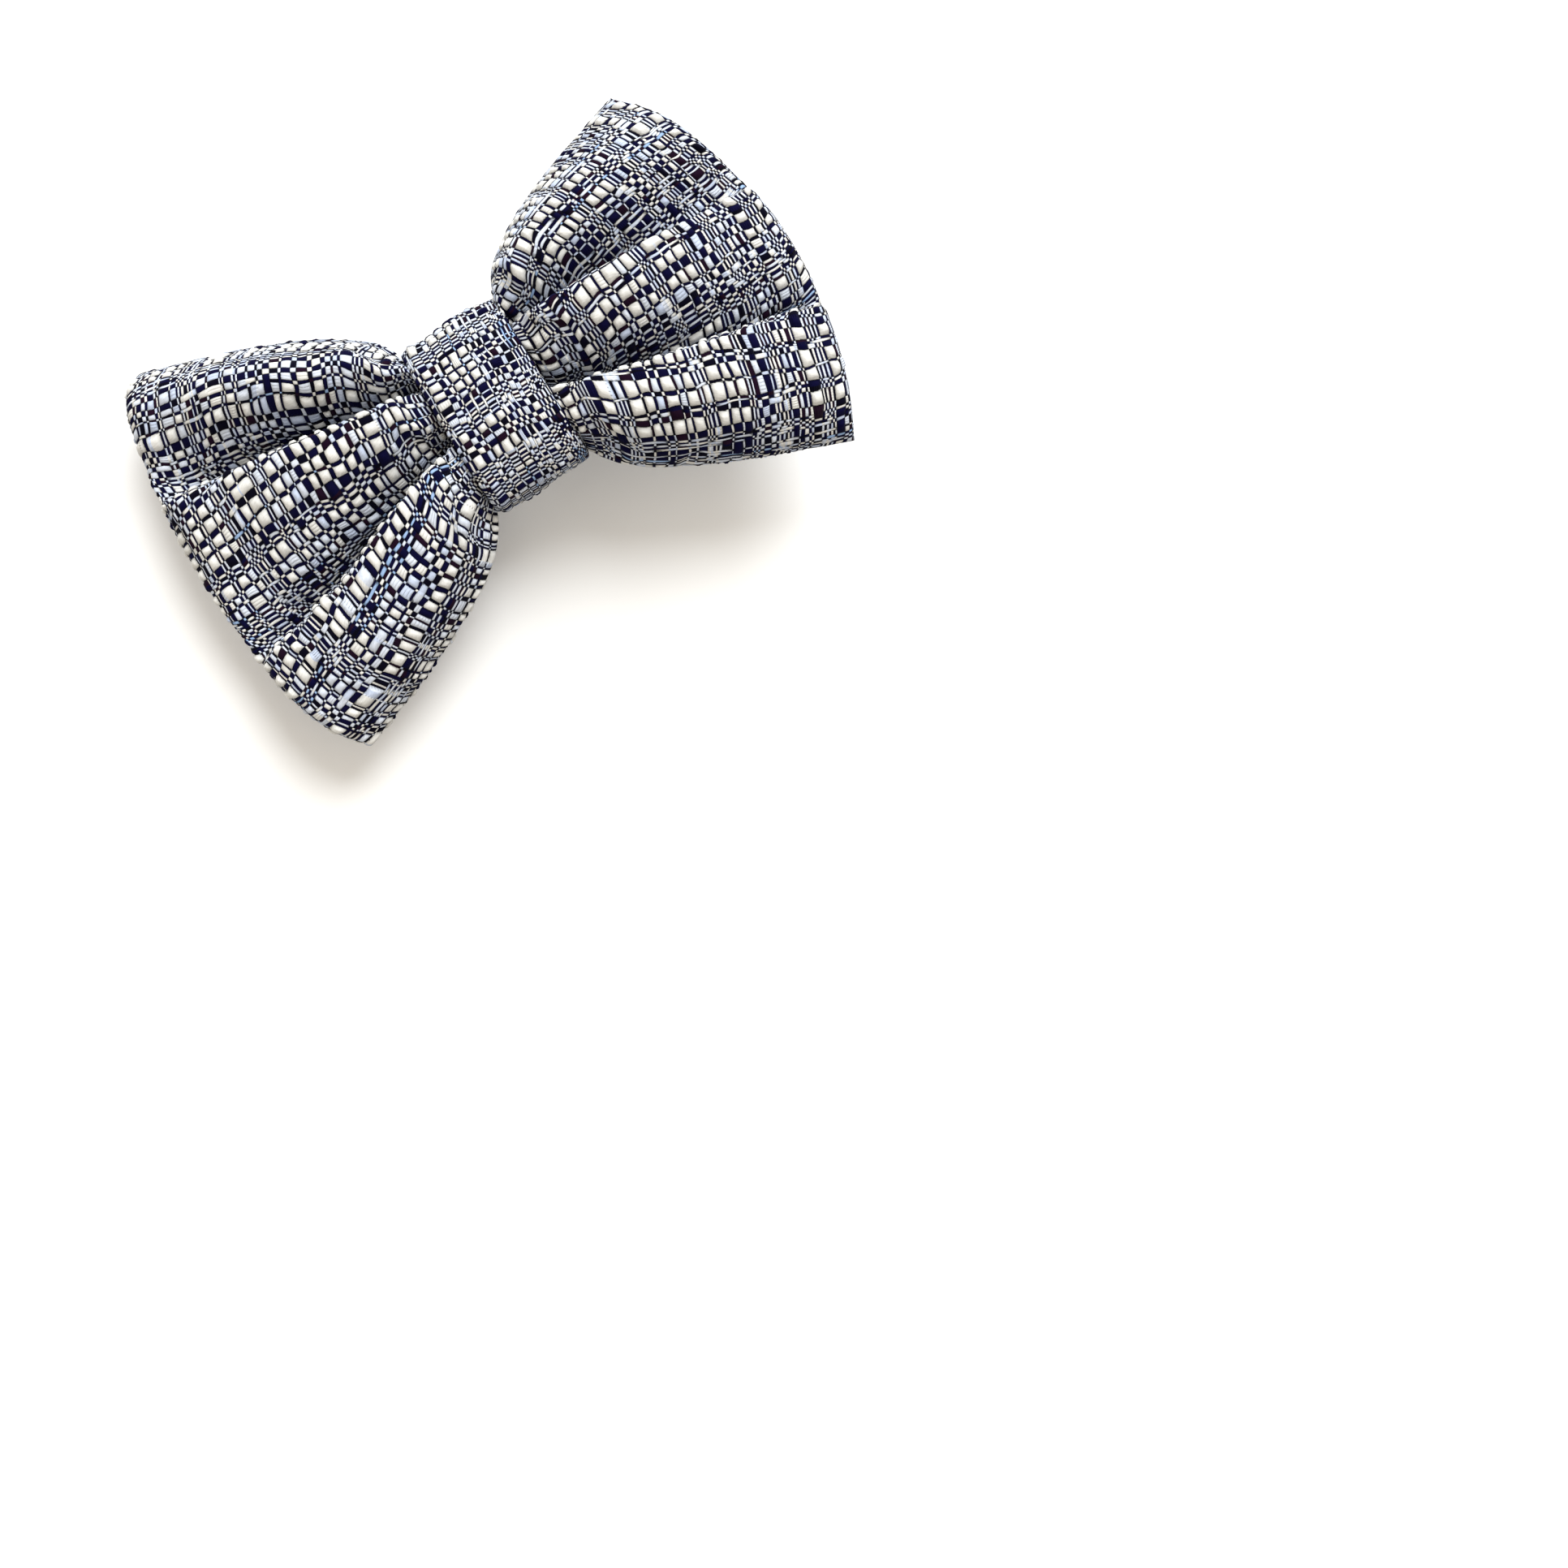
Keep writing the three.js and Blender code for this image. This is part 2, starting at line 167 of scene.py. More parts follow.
class Material(Nodes):
    def __init__(self, name):
        self.material = bpy.data.materials.new(name)
        super().__init__(self.material)
        self.shader = self.tree.nodes["Principled BSDF"]

    def position(self):
        return self.tree.nodes.new("ShaderNodeTexCoord").outputs["Object"]

    def geometry(self, output):
        return self.tree.nodes.new("ShaderNodeNewGeometry").outputs[output]

    def bump(self, height, distance, strength=1.0):
        node = self.tree.nodes.new("ShaderNodeBump")
        node.inputs["Strength"].default_value = strength
        node.inputs["Distance"].default_value = distance
        self.feed(node.inputs["Height"], height)
        self.feed(self.shader.inputs["Normal"], node.outputs[0])

    def set(self, **inputs):
        for key, value in inputs.items():
            self.feed(self.shader.inputs[key.replace("_", " ")], value)
        return self.material


def tweed_material():
    n = Material("tweed")
    yarn = n.attribute("yarn")
    yarn_colour, size = yarn.outputs["Color"], yarn.outputs["Alpha"]
    across, along, chance = n.separate(n.attribute("cell").outputs["Vector"])
    # The yarn is round across itself, and dives under its neighbours at the ends of each float.
    round_across = n.math("SUBTRACT", 1.0, n.math("MULTIPLY", across, across))
    sharpness = n.remap(size, 0.17, 0.5, 2.0, 3.4)
    dive = n.math("SUBTRACT", 1.0, n.math("POWER", n.math("ABSOLUTE", along), sharpness))
    pillow = n.math("MULTIPLY", round_across, dive, clamp=True)
    height = n.math("SQRT", pillow)
    fibre = n.noise(n.attribute("fibre").outputs["Vector"], 1.0, 4.0, 0.65)
    streak = n.remap(fibre, 0.3, 0.7, 0.78, 1.04)
    tint = n.remap(chance, 0.0, 1.0, 0.88, 1.04)
    # Painted shade: each float's colour darkens towards its rim, where it rounds down under its neighbours.
    rim_painted_shade = n.remap(height, 0.2, 0.9, 0.66, 1.0)
    shade = n.math("MULTIPLY", n.math("MULTIPLY", streak, tint), rim_painted_shade)
    # The gaps between floats are painted shade, the float's own colour darkened to a tenth, ragged, and take
    # up more of the small ones.
    rim = n.remap(size, 0.16, 0.5, 0.42, 0.12)
    ragged = n.math("ADD", pillow, n.remap(fibre, 0.3, 0.7, -0.2, 0.2))
    gap_painted_shade, lit = n.scaled(yarn_colour, 0.1), n.scaled(yarn_colour, shade)
    relief = n.math("ADD", n.math("MULTIPLY", height, size), n.math("MULTIPLY", fibre, 0.12))
    n.bump(relief, 0.6 * MM)
    return n.set(
        Base_Color=n.mix(n.remap(ragged, 0.0, rim), gap_painted_shade, lit),
        Roughness=0.92,
        Specular_IOR_Level=0.06,
        Sheen_Weight=0.02,
        Sheen_Roughness=0.4,
    )


def wadding_material():
    n = Material("wadding")
    tuft = n.noise(n.position(), 900.0, 6.0, 0.65)
    fibre = np.array(srgb(240, 238, 230))
    n.bump(tuft, 1.2 * MM, 0.8)
    colour = n.mix(n.remap(tuft, 0.35, 0.7), fibre * 0.78, fibre)
    return n.set(Base_Color=colour, Roughness=0.95, Sheen_Weight=0.2)


def lining_as_shade_material():
    n = Material("lining")
    x, _, z = n.separate(n.position())
    threads = 2 * math.pi / (0.55 * MM)
    lengthways = n.math("SINE", n.math("MULTIPLY", x, threads))
    crossways = n.math("SINE", n.math("MULTIPLY", z, threads))
    woven = n.math("MULTIPLY", lengthways, crossways)
    n.bump(woven, 0.1 * MM, 0.7)
    # Painted shade: the lining is made dark navy so that the gap beside the knot reads as shadow. Its fine
    # woven pattern is its own.
    colour = n.mix(n.remap(woven, -1, 1), srgb(28, 29, 42), srgb(44, 46, 60))
    return n.set(Base_Color=colour, Roughness=0.93, Sheen_Weight=0.1)


def thread_material():
    n = Material("thread")
    fuzz = n.noise(n.position(), 9000.0, 4.0, 0.6)
    n.bump(fuzz, 0.04 * MM, 0.7)
    colour = n.mix(n.remap(fuzz, 0.3, 0.7), srgb(20, 22, 58), srgb(52, 58, 112))
    return n.set(Base_Color=colour, Roughness=0.6, Sheen_Weight=0.3, Specular_IOR_Level=0.4)


def nickel_material():
    n = Material("nickel")
    place = n.position()
    stretched = n.tree.nodes.new("ShaderNodeMapping")
    stretched.inputs["Scale"].default_value = (0.06, 1.0, 1.0)
    n.feed(stretched.inputs["Vector"], place)
    brushing = n.noise(stretched.outputs[0], 9000.0, 4.0, 0.6)
    blotch = n.noise(place, 320.0, 4.0, 0.6)
    worn = n.math("MULTIPLY", n.remap(n.geometry("Pointiness"), 0.52, 0.6), 0.5)
    plating = n.mix(n.remap(blotch, 0.35, 0.7), srgb(206, 206, 205), srgb(218, 218, 219))
    rough = n.math("ADD", n.remap(brushing, 0.3, 0.7, 0.15, 0.24), n.remap(blotch, 0.4, 0.8, 0.0, 0.08))
    n.bump(brushing, 0.01 * MM, 0.5)
    return n.set(Base_Color=n.mix(worn, plating, srgb(236, 232, 222)), Metallic=1.0, Roughness=rough)


TWEED = tweed_material()
WADDING = wadding_material()
LINING_AS_SHADE = lining_as_shade_material()
THREAD = thread_material()
NICKEL = nickel_material()

# ---------------------------------------------------------------- the weave

# A plain weave of slub yarns, pale ones along the bow and dark ones across it. Thin yarns come
# singly or in runs, so their crossings make fat floats, ladders of bars and patches of tiny dots.
STRIP = 0.38  # one thin yarn
THICK = {2: 0.36, 3: 0.32, 4: 0.2, 5: 0.12}  # a thick yarn's width in thin ones, and their chances
RUN = 0.2  # how often a run of thin yarns comes next
PAIRED = 0.42  # how often a thick yarn has a thin one beside it
PALE_FLOATS = 0.24  # how often a pale yarn floats on over a thin dark one
DARK_FLOATS = 0.13  # and a dark yarn over a thin pale one
BLUE = 0.16  # the share of the thin pale yarns that turn sky blue in places
GROOVED = 0.45  # the share of the floats whose plies show
LIGHTS = (WHITE, WHITE, CREAM, WHITE, CREAM, PALE)
DARKS = (NAVY, NAVY, INK, NAVY, INK, NAVY, NAVY, PLUM)
GROOVE = 0.74  # how near its rim a float's surface comes between two of its plies
WIDEST = 6 * STRIP  # the size that counts as 1 in the material
BOBBLE = 4  # two yarns this thick cross in a pale bobble
RELIEF = 0.26  # how high a float 1 mm wide stands


def waves(rng, count, at, lengths):
    """count smooth random curves along at, each mostly between -1 and 1."""
    phase = rng.uniform(0, 2 * np.pi, (count, len(lengths), 1))
    lengths = np.array(lengths)[None, :, None]
    return np.sin(2 * np.pi * at[None, None, :] / lengths + phase).mean(axis=1) * 1.3


def hills(rng, u, v, size, count=7):
    """A smooth random height for each u and v, of unit spread, with hills about size mm apart."""
    total = 0.0
    for _ in range(count):
        angle = rng.uniform(0, np.pi)
        pace = 2 * np.pi / (size * rng.uniform(0.7, 1.4))
        along = u[:, None] * np.cos(angle) + v[None, :] * np.sin(angle)
        total = total + np.sin(pace * along + rng.uniform(0, 2 * np.pi))
    return total / np.sqrt(count / 2)


class Bundles:
    """Bundles of yarns laid side by side from low to high."""

    def __init__(self, low, high, rng):
        self.low, self.high, self.rng = low, high, rng
        sizes, chances = list(THICK), list(THICK.values())
        count = []
        while sum(count) * STRIP < high - low:
            if rng.uniform() < RUN:
                count.extend([1] * rng.integers(3, 7))
                continue
            size = rng.choice(sizes, p=chances)
            # The thickest yarns lie in even places, where two of them show the pale one.
            if size >= BOBBLE and len(count) % 2:
                count.append(1)
            count.extend([size, 1] if rng.uniform() < PAIRED else [size])
        self.count = np.array(count)
        self.bundle = np.repeat(np.arange(len(count)), count)
        self.number = np.concatenate([np.arange(c) for c in count])
        share = self.number / self.count[self.bundle]
        self.line_bundle = np.append(self.bundle, len(count))
        self.line_share = np.append(share, 0.0)
        self.nominal = self.lines(np.zeros(1), still=True)[:, 0]
        edges = np.cumsum(np.append(0, self.count)) * (high - low) / self.count.sum() + low
        self.middle = (edges[:-1] + edges[1:]) / 2

    def lines(self, at, still=False):
        """Where each yarn's edge lies at each place along the yarns."""
        width = self.count[:, None] * STRIP * np.ones((1, len(at)))
        if not still:
            change = 0.3 * width * waves(self.rng, len(self.count), at, (11.0, 19.0, 31.0))
            change += 0.07 * width * waves(self.rng, len(self.count), at, (3.3, 5.1))
            # Neighbours make room for a thick place, so the yarns stay straight over all.
            drift = np.cumsum(change, axis=0)
            reach = 4
            kernel = np.hanning(2 * reach + 3)[1:-1]
            kernel = kernel / kernel.sum()
            padded = np.pad(drift, ((reach, reach), (0, 0)), mode="edge")
            smooth = np.stack([np.convolve(column, kernel, mode="valid") for column in padded.T], axis=1)
            steady = drift - 0.85 * smooth
            change = np.diff(steady, axis=0, prepend=np.zeros((1, len(at))))
            width = np.maximum(width + change, 0.55 * width)
        edges = np.vstack([np.zeros((1, len(at))), np.cumsum(width, axis=0)])
        edges = self.low + (self.high - self.low) * edges / edges[-1]
        edges = np.vstack([edges, edges[-1:]])
        share = self.line_share[:, None]
        return edges[self.line_bundle] * (1 - share) + edges[self.line_bundle + 1] * share


def pick(rng, palette, shape):
    return np.array(palette)[rng.integers(len(palette), size=shape)]


def across_yarn(bundles, grooved, axis):
    """Each face's two edges across its yarn, from -1 to 1. Grooves part a thick yarn's plies a little."""
    shape = (-1, 1) if axis == 0 else (1, -1)
    number = bundles.number.reshape(shape)
    count = bundles.count[bundles.bundle].reshape(shape)
    low = np.where(grooved & (number > 0), -GROOVE, 2 * number / count - 1)
    high = np.where(grooved & (number < count - 1), GROOVE, 2 * (number + 1) / count - 1)
    return low, high


def along_float(bundles, on_top):
    """Each face's two edges along its float, from -1 to 1, and the float's length in strips. on_top
    has one row for each yarn crossed, and a float runs on over all its neighbours with the same sign."""
    edge = np.append(0, np.cumsum(bundles.count))
    start = np.empty(on_top.shape, dtype=int)
    end = np.empty(on_top.shape, dtype=int)
    last = len(on_top) - 1
    for k in range(len(on_top)):
        start[k] = np.where((k > 0) & (on_top[k] == on_top[k - 1]), start[k - 1], edge[k])
        back = last - k
        goes_on = (k > 0) & (on_top[back] == on_top[min(back + 1, last)])
        end[back] = np.where(goes_on, end[min(back + 1, last)], edge[back + 1])
    start, end = start[bundles.bundle], end[bundles.bundle]
    strip = np.arange(len(bundles.bundle))[:, None]
    length = end - start
    return 2 * (strip - start) / length - 1, 2 * (strip + 1 - start) / length - 1, length


def crossings(weft, warp, rng):
    """What each face of the cloth shows. The pale warp runs along u, and the dark weft across it."""
    shape = (len(weft.count), len(warp.count))
    count_u, count_v = weft.count[:, None], warp.count[None, :]
    chance = rng.uniform(size=shape)
    warp_on_top = np.add.outer(np.arange(shape[0]), np.arange(shape[1])) % 2 == 0
    # Here and there a yarn floats on over a thin one that should cover it, pale ones in some places
    # and dark ones in others.
    floating = rng.uniform(size=shape)
    trend = hills(rng, weft.middle, warp.middle, 9.0)
    pale_share, dark_share = PALE_FLOATS * np.exp(trend / 2), DARK_FLOATS * np.exp(-trend / 2)
    pale_share = pale_share * np.where(count_v <= 2, 1.25, 0.25)  # the thick ones seldom float far
    warp_on_top = np.where((floating < pale_share) & (count_u == 1), True, warp_on_top)
    warp_on_top = np.where((floating > 1 - dark_share) & (count_v == 1), False, warp_on_top)
    pale, dark = pick(rng, LIGHTS, shape), pick(rng, DARKS, shape)
    blue = (count_v == 1) & (rng.uniform(size=(1, shape[1])) < BLUE)
    blue = blue & (hills(rng, weft.middle, warp.middle, 16.0) > 0.1)
    pale = np.where(blue[..., None], SKY, pale)
    bobble = warp_on_top & (count_u >= BOBBLE) & (count_v >= BOBBLE)
    pale = np.where(bobble[..., None], CREAM, pale)
    grooved = (rng.uniform(size=shape) < GROOVED) & ~bobble
    # From here on everything is by face: one row of faces per weft strip, one column per warp strip.
    j, i = np.meshgrid(weft.bundle, warp.bundle, indexing="ij")
    along_u, grooved = warp_on_top[j, i], grooved[j, i]
    across_u = across_yarn(weft, grooved, 0)
    across_v = across_yarn(warp, grooved, 1)
    *down, length_u = [part[:, warp.bundle] for part in along_float(weft, warp_on_top)]
    *over, length_v = [part[:, weft.bundle].T for part in along_float(warp, ~warp_on_top.T)]
    low_u, high_u = (np.where(along_u, a, b) for a, b in zip(down, across_u))
    low_v, high_v = (np.where(along_u, a, b) for a, b in zip(across_v, over))
    size_u = np.where(along_u, length_u, weft.count[j]) * STRIP
    size_v = np.where(along_u, warp.count[i], length_v) * STRIP
    colour = np.where(along_u[..., None], pale[j, i], dark[j, i])
    return {
        "along_u": along_u,
        "side_u": np.stack([low_u, high_u, high_u, low_u], axis=-1),
        "side_v": np.stack([low_v, low_v, high_v, high_v], axis=-1),
        "size_u": size_u,
        "size_v": size_v,
        "colour": colour,
        "chance": chance[j, i],
    }


def grid_faces(rows, columns):
    """Quads of a grid of rows x columns vertices."""
    at = np.arange(rows * columns).reshape(rows, columns)
    return np.stack([at[:-1, :-1], at[1:, :-1], at[1:, 1:], at[:-1, 1:]], axis=-1).reshape(-1, 4)


def mesh_object(name, points, faces, material=None, smooth=True):
    mesh = bpy.data.meshes.new(name)
    mesh.vertices.add(len(points))
    mesh.vertices.foreach_set("co", np.asarray(points, dtype=np.float32).ravel())
    mesh.loops.add(faces.size)
    mesh.loops.foreach_set("vertex_index", faces.ravel().astype(np.int32))
    mesh.polygons.add(len(faces))
    mesh.polygons.foreach_set("loop_start", np.arange(0, faces.size, 4, dtype=np.int32))
    mesh.polygons.foreach_set("use_smooth", np.full(len(faces), smooth))
    mesh.update(calc_edges=True)
    mesh.validate()
    obj = bpy.data.objects.new(name, mesh)
    bpy.context.scene.collection.objects.link(obj)
    if material:
        mesh.materials.append(material)
    return obj


def grid_normals(points):
    """Unit normals of a grid of points, along the first axis crossed with the second."""
    normal = np.cross(np.gradient(points, axis=0), np.gradient(points, axis=1))
    return normal / np.maximum(np.linalg.norm(normal, axis=-1, keepdims=True), 1e-9)


def pillow(across, along):
    """The height of a yarn's float, from 0 at its rim to 1 in its middle."""
    return np.sqrt(np.clip(1 - across**2, 0, 1)) * np.sqrt(np.clip(1 - along**4, 0, 1))


def weave(name, surface, length, width, seed, flip):
    """A woven sheet. surface(u, v) gives the points at u mm along the warp and v mm across it, and
    flip is 1 if its normals point out of the object, or -1 if they point in."""
    rng = np.random.default_rng(seed)
    warp = Bundles(*width, rng)
    weft = Bundles(*length, rng)
    u = weft.lines(warp.nominal)
    v = warp.lines(weft.nominal).T
    points = surface(u, v)
    shown = crossings(weft, warp, rng)
    along_u = shown["along_u"]
    across = np.where(along_u[..., None], shown["side_v"], shown["side_u"])
    along = np.where(along_u[..., None], shown["side_u"], shown["side_v"])
    wide = np.where(along_u, shown["size_v"], shown["size_u"])
    long = np.where(along_u, shown["size_u"], shown["size_v"])
    size = np.minimum(wide, long)
    # The relief: each vertex takes the mean of the floats that meet there
    faces = grid_faces(*u.shape)
    height = (RELIEF * size[..., None] ** 1.3 * pillow(across, along)).reshape(-1)
    counts = np.bincount(faces.ravel(), minlength=u.size)
    lift = (np.bincount(faces.ravel(), weights=height, minlength=u.size) / counts).reshape(u.shape)
    # Where the cloth is squeezed, its yarns stand less high.
    room = np.linalg.norm(np.gradient(points, axis=1), axis=-1) / np.gradient(v, axis=1)
    points = points + flip * grid_normals(points) * (lift * np.clip(room, 0, 1))[..., None]
    if flip < 0:
        order = [0, 3, 2, 1]
        faces = faces[:, order]
        across, along = across[..., order], along[..., order]
    obj = mesh_object(name, points.reshape(-1, 3) * MM, faces, TWEED)
    corner = (len(faces), 4, 1)
    rgba = np.append(shown["colour"], size[..., None] / WIDEST, axis=-1)
    spread = np.broadcast_to(rgba.reshape(-1, 1, 4), (len(faces), 4, 4))
    yarn = obj.data.attributes.new("yarn", "FLOAT_COLOR", "CORNER")
    yarn.data.foreach_set("color", np.ascontiguousarray(spread, dtype=np.float32).ravel())
    across, along = across.reshape(corner), along.reshape(corner)
    chance = np.broadcast_to(shown["chance"].reshape(-1, 1, 1), corner)
    wide, long = wide.reshape(-1, 1, 1), long.reshape(-1, 1, 1)
    # The fibres run nearly along their yarn, and each float has its own.
    over, down = across * wide, along * long
    vectors = {
        "cell": np.concatenate([across, along, chance], axis=-1),
        "fibre": np.concatenate([over * 3.2 + down * 0.8, down * 0.5, chance * 60], axis=-1),
    }
    for key, value in vectors.items():
        attribute = obj.data.attributes.new(key, "FLOAT_VECTOR", "CORNER")
        attribute.data.foreach_set("vector", np.ascontiguousarray(value, dtype=np.float32).ravel())
    return obj


# ---------------------------------------------------------------- the wings

INNER_X = 6.0  # the cloth is modelled from here, inside the knot
KNOT_X = 9.2  # the knot's side, where the wings begin to spread
SPREAD_X = 49.0  # how far out from there the pleats run
WAIST_Z = 12.0
CLOTH_HALF_WIDTH = 37.5
EDGE = 0.08  # the share of a pleat that its steep upper edge takes
LAP = 1.5  # how far that edge laps over the fold above
SINK = 6.5  # how far the front's valleys sink in beside the knot
LEAN = 2.6  # how far the wing's end leans back
ALONG = 46  # cells of the simulated cloth on each face, and across it
ACROSS = 110
# Each wing's outline and pleats: x at the middle of its outer fold, x and z of each corner and how the
# edge flares to it, the two valleys' z at four x, the upper valley's depth, and the weave's seed.
WINGS = {
    "left": {
        "side": -1,
        "middle": 59.9,
        "upper": {"corner": (51.2, 38.8), "flare": 0.44},
        "lower": {"corner": (50.0, 38.3), "flare": 0.505},
        "valleys": ((10, 24, 38, 58), (6.2, 8.5, 12.0, 16.8), (-4.2, -8.3, -13.2, -15.5)),
        "top": 1.0,
        "seed": 66,
    },
    "right": {
        "side": 1,
        "middle": 59.0,
        "upper": {"corner": (45.6, 36.7), "flare": 0.37},
        "lower": {"corner": (50.6, 36.9), "flare": 0.56},
        "valleys": ((10, 24, 38, 58), (8.0, 8.6, 8.9, 10.0), (-4.6, -8.8, -11.2, -13.5)),
        "top": 0.4,
        "seed": 2,
    },
}


def pleats(q, top):
    """Three knife pleats down the wing, each with a steep upper edge and a slow fall to the next.
    Gives how far forward the cloth lies, from -1 to 1, how far an edge laps over the fold above, and
    how much the valleys sink in. top is the upper valley's own depth."""
    down = 1.5 * (1 - q)
    pleat = np.minimum(np.floor(down), 2)
    share = down - pleat
    rise = np.sin(np.clip(share / EDGE, 0, 1) * np.pi / 2) ** 2
    fall = np.clip((share - EDGE) / (1 - EDGE), 0, 1)
    first = np.where(share < 0.42, 1.0, top)
    first = (1 - first) / 2 - (1 + first) / 2 * np.cos(2 * np.pi * share**0.8)
    second = np.where(share < EDGE, (1 + top) * rise - top, 1 - 2 * fall**1.7)
    third = 2 * rise - 1 - 1.7 * fall**3.2
    forward = np.select([pleat == 0, pleat == 1], [first, second], third)
    overlap = np.where(pleat == 0, 0.0, share / EDGE * np.exp(1 - share / EDGE))
    deep = 0.8 * top
    sunk = np.select([pleat == 0, pleat == 2, share < EDGE], [deep * share**5, 1 - rise, deep * (1 - rise)],
                     fall**2.5)
    return forward, overlap, sunk


def wing_face(wing, m, q, face):
    """Points on one face of a wing: m is 0 at the knot and 1 at the outer fold, q is -1 to 1 upwards,
    and face is -1 in front and 1 behind."""
    upper, lower = wing["upper"], wing["lower"]
    corner_x = np.where(q > 0, upper["corner"][0], lower["corner"][0])
    corner_z = np.where(q > 0, upper["corner"][1], lower["corner"][1])
    flare = np.where(q > 0, upper["flare"], lower["flare"])
    x = INNER_X + (wing["middle"] - (wing["middle"] - corner_x) * np.abs(q) ** 2.2 - INNER_X) * m
    half_height = WAIST_Z + (corner_z - WAIST_Z) * (np.maximum(x - KNOT_X, 0) / (corner_x - KNOT_X)) ** flare
    out = np.clip((x - KNOT_X) / SPREAD_X, 0, 1)
    # The two valleys bend the cloth's own straight lines to where the pleats lie.
    at, high, low = wing["valleys"]
    high, low = np.interp(x, at, high) / half_height, np.interp(x, at, low) / half_height
    shift = 9 / 16 * (high + low)
    spread = np.clip(27 / 8 * ((high - low) / 2 - 1 / 3), -0.45, 0.45)
    t = q + shift * (1 - q**2) + spread * q * (1 - q**2)
    forward, overlap, sunk = pleats(q, wing["top"])
    t = t + LAP * (1 - out) ** 0.5 * overlap / half_height
    grown = np.clip((x - INNER_X) / 9, 0, 1)
    depth = (2.4 + 3.6 * grown**2) * (1 - out) ** 0.4 + 0.3
    valley = (1 - forward) / 2
    middle_y = MIDDLE_Y + LEAN * out**1.5 - depth * forward
    if face < 0:
        middle_y = middle_y + SINK * grown * (1 - out) ** 0.7 * sunk
    thick = 3.4 + 3.0 * np.sin(np.pi * np.clip((x - INNER_X) / 44, 0, 1)) ** 0.8
    rim = np.sqrt(np.clip(1 - np.clip((m - 0.94) / 0.06, 0, 1) ** 2, 0, 1))
    crown = (1 - np.abs(q) ** 2.8) ** (1 / 2.2)
    thick = thick * rim * (0.12 + 0.88 * crown) * (1 - 0.3 * valley * (1 - out))
    return np.stack([wing["side"] * x, middle_y + face * thick, t * half_height], axis=-1)


def wing_grid(wing):
    """The wing's cloth from the knot along the front, round the outer fold and back along the back,
    and its length."""
    q = np.linspace(-1, 1, ACROSS + 1)
    m = np.sin(np.linspace(0, 1, 240) * np.pi / 2)
    front = wing_face(wing, m[:, None], q[None, :], -1)
    back = wing_face(wing, m[::-1, None], q[None, :], 1)
    path = np.concatenate([front, back[1:]])
    steps = np.linalg.norm(np.diff(path, axis=0), axis=-1)
    travelled = np.concatenate([np.zeros((1, len(q))), np.cumsum(steps, axis=0)])
    grid = np.empty((2 * ALONG + 1, len(q), 3))
    for k in range(len(q)):
        even = np.linspace(0, travelled[-1, k], 2 * ALONG + 1)
        for axis in range(3):
            grid[:, k, axis] = np.interp(even, travelled[:, k], path[:, k, axis])
    return grid, travelled[-1, len(q) // 2]


def inflate(name, grid, side, pressure, frames, limit):
    """Blows the cloth up a little with Blender's cloth simulation, held at the knot."""
    rows, columns = grid.shape[:2]
    scale = 10 * MM  # the simulation behaves best on larger objects
    faces = grid_faces(rows, columns)
    index = np.arange(rows * columns).reshape(rows, columns)
    weld = index.copy()
    for edge in (0, columns - 1):
        weld[rows // 2 + 1 :, edge] = index[: rows // 2, edge][::-1]
    keep, compact = np.unique(weld, return_inverse=True)
    compact = compact.reshape(weld.shape)
    faces = compact.ravel()[faces]
    if side < 0:
        faces = faces[:, ::-1]
    obj = mesh_object(name + "_sim", grid.reshape(-1, 3)[keep] * scale, faces)
    hold = obj.vertex_groups.new(name="hold")
    # Firmly held under the knot, a little at the two long edges, and least at the outer fold
    weight = np.where(np.abs(grid[..., 0]) < 9.6, 1.0, 0.0)
    weight[:, [0, -1]] = np.maximum(weight[:, [0, -1]], 0.25)
    weight[rows // 2] = np.maximum(weight[rows // 2], 0.12)
    for vertex, value in zip(range(len(keep)), weight.ravel()[keep]):
        if value > 0:
            hold.add([vertex], float(value), "REPLACE")
    cloth = obj.modifiers.new("cloth", "CLOTH")
    settings = cloth.settings
    settings.quality = 8
    settings.mass = 0.3
    settings.tension_stiffness = settings.compression_stiffness = 20
    settings.shear_stiffness = 8
    settings.bending_stiffness = 0.6
    settings.air_damping = 2
    settings.shrink_min = settings.shrink_max = -0.035
    settings.use_pressure = True
    settings.uniform_pressure_force = pressure
    settings.vertex_group_mass = "hold"
    settings.effector_weights.gravity = 0
    cloth.point_cache.frame_start = 1
    cloth.point_cache.frame_end = frames
    scene = bpy.context.scene
    for step in range(1, frames + 1):
        scene.frame_set(step)
    depsgraph = bpy.context.evaluated_depsgraph_get()
    blown = np.empty(len(keep) * 3, dtype=np.float32)
    obj.evaluated_get(depsgraph).data.vertices.foreach_get("co", blown)
    bpy.data.objects.remove(obj)
    scene.frame_set(1)
    moved = blown.reshape(-1, 3)[compact] / scale - grid
    far = np.linalg.norm(moved, axis=-1, keepdims=True)
    return grid + moved * limit / (limit + far)


def sampler(grid, length):
    """A smooth surface through the grid's points: u runs over length, v over the cloth's width."""
    rows, columns = grid.shape[:2]

    def taps(at, count):
        """The four grid lines round each place, and their weights on a Catmull-Rom curve."""
        low = np.clip(np.floor(at).astype(int), 0, count - 2)
        t = at - low
        weights = (
            -0.5 * t + t**2 - 0.5 * t**3,
            1 - 2.5 * t**2 + 1.5 * t**3,
            0.5 * t + 2 * t**2 - 1.5 * t**3,
            -0.5 * t**2 + 0.5 * t**3,
        )
        return [(np.clip(low + k - 1, 0, count - 1), weights[k]) for k in range(4)]

    def surface(u, v):
        across = (v / CLOTH_HALF_WIDTH + 1) / 2 * (columns - 1)
        total = np.zeros(u.shape + (3,))
        for row, row_weight in taps(u / length * (rows - 1), rows):
            for column, column_weight in taps(across, columns):
                total += grid[row, column] * (row_weight * column_weight)[..., None]
        return total

    return surface


